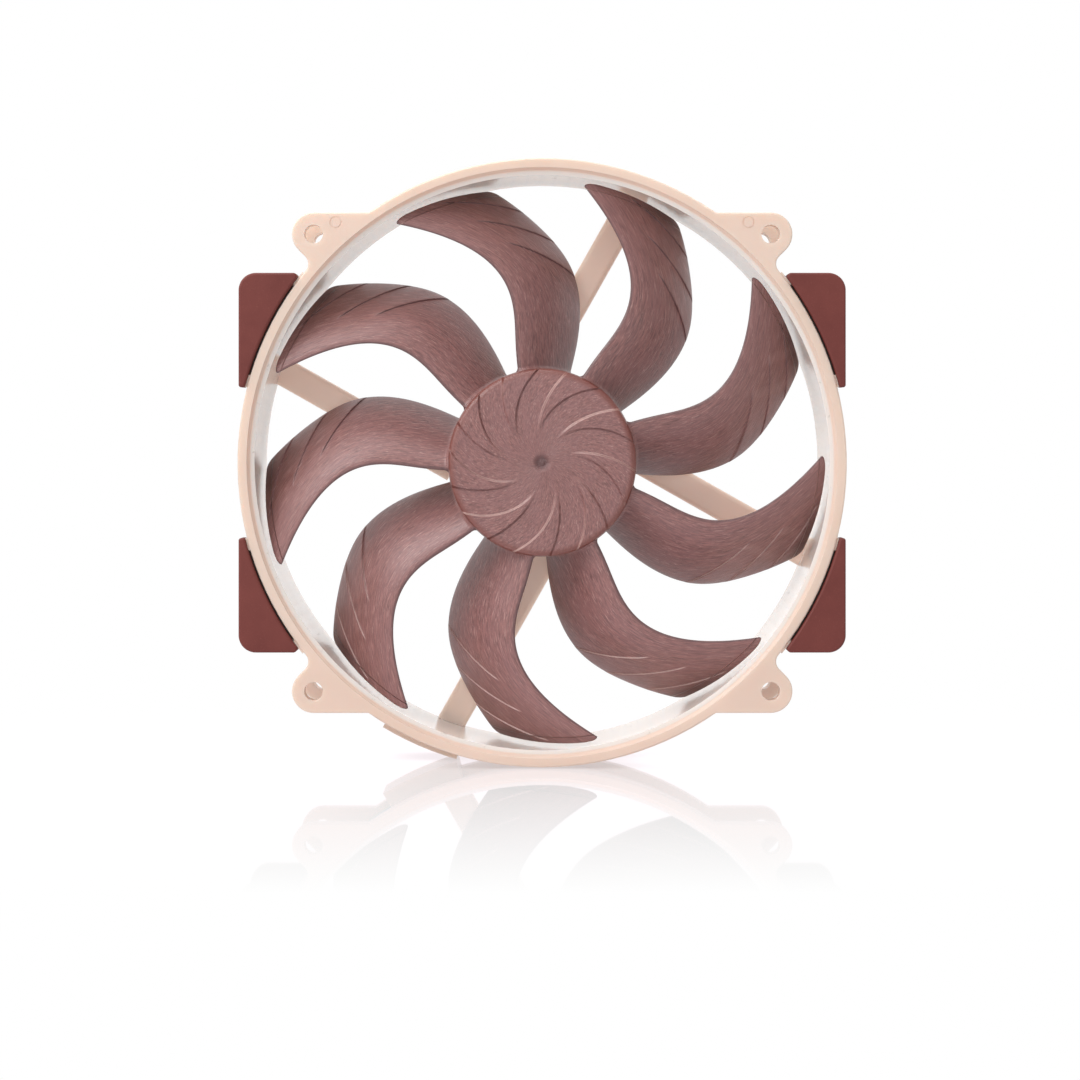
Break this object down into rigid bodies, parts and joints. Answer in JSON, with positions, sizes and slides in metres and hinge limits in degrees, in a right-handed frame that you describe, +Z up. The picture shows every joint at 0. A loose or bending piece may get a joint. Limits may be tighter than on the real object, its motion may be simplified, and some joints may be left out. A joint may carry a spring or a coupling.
{
  "type": "case fan",
  "caption": "Round-frame axial cooling fan with a forward-swept impeller on a rear motor base, screw ears on a square pattern, soft corner pads and a stowed lead.",
  "frame": {"origin": "on the rotor axis, half way through the frame's depth", "axes": "+Z up, +X to the right seen from the intake side, +Y from the intake face to the exhaust face along the rotor axis"},
  "size_m": [0.14, 0.026, 0.14],
  "materials": {
    "board_laminate": "solder mask",
    "bonded_magnet": "dark bonded ferrite",
    "brass": "turned",
    "chip_epoxy": "moulded epoxy",
    "component_ceramic": "small surface-mount parts",
    "connector_plastic": "moulded",
    "enamelled_copper": "enamelled winding wire",
    "frame_plastic": "smooth satin moulding, glossy in the bore",
    "hardened_steel": "ground and polished",
    "impeller_composite": "semi-gloss fibre-filled plastic with visible flow lines",
    "insulator_plastic": "moulded",
    "label_film": "blank printed film",
    "lamination_steel": "stamped laminations",
    "nylon": "natural nylon",
    "pad_silicone": "soft matt silicone",
    "seal_rubber": "matt",
    "sintered_bronze": "porous, oil-soaked",
    "tinned_metal": "tinned",
    "wire_black": "insulated wire",
    "wire_blue": "insulated wire",
    "wire_green": "insulated wire",
    "wire_yellow": "insulated wire",
    "yoke_steel": "zinc-plated drawn steel"
  },
  "bodies": {
    "frame": {"bearing_end_cap": "brass", "bearing_magnet": "bonded_magnet", "bearing_shell": "brass", "bearing_sleeve": "sintered_bronze", "board_components": "component_ceramic", "circuit_board": "board_laminate", "coil_windings": "enamelled_copper", "connector_housing": "connector_plastic", "connector_terminals": "tinned_metal", "driver_chip": "chip_epoxy", "frame": "frame_plastic", "front_insulator": "insulator_plastic", "front_pad_lower_left": "pad_silicone", "front_pad_lower_right": "pad_silicone", "front_pad_upper_left": "pad_silicone", "front_pad_upper_right": "pad_silicone", "oil_seal": "seal_rubber", "rear_insulator": "insulator_plastic", "rear_label": "label_film", "rear_pad_lower_left": "pad_silicone", "rear_pad_lower_right": "pad_silicone", "rear_pad_upper_left": "pad_silicone", "rear_pad_upper_right": "pad_silicone", "stator_core": "lamination_steel", "thrust_pad": "nylon", "winding_pins": "tinned_metal", "wire_ground": "wire_black", "wire_power": "wire_yellow", "wire_speed_control": "wire_blue", "wire_speed_signal": "wire_green"},
    "rotor": {"impeller": "impeller_composite", "rotor_yoke": "yoke_steel", "rotor_magnet": "bonded_magnet", "shaft": "hardened_steel", "shaft_bushing": "brass", "retaining_clip": "nylon"}
  },
  "joints": [
    {"name": "rotor_spin", "type": "hinge", "parent": "frame", "child": "rotor", "pos_m": [0, 0, 0], "axis": [0, -1, 0], "continuous": true}
  ]
}
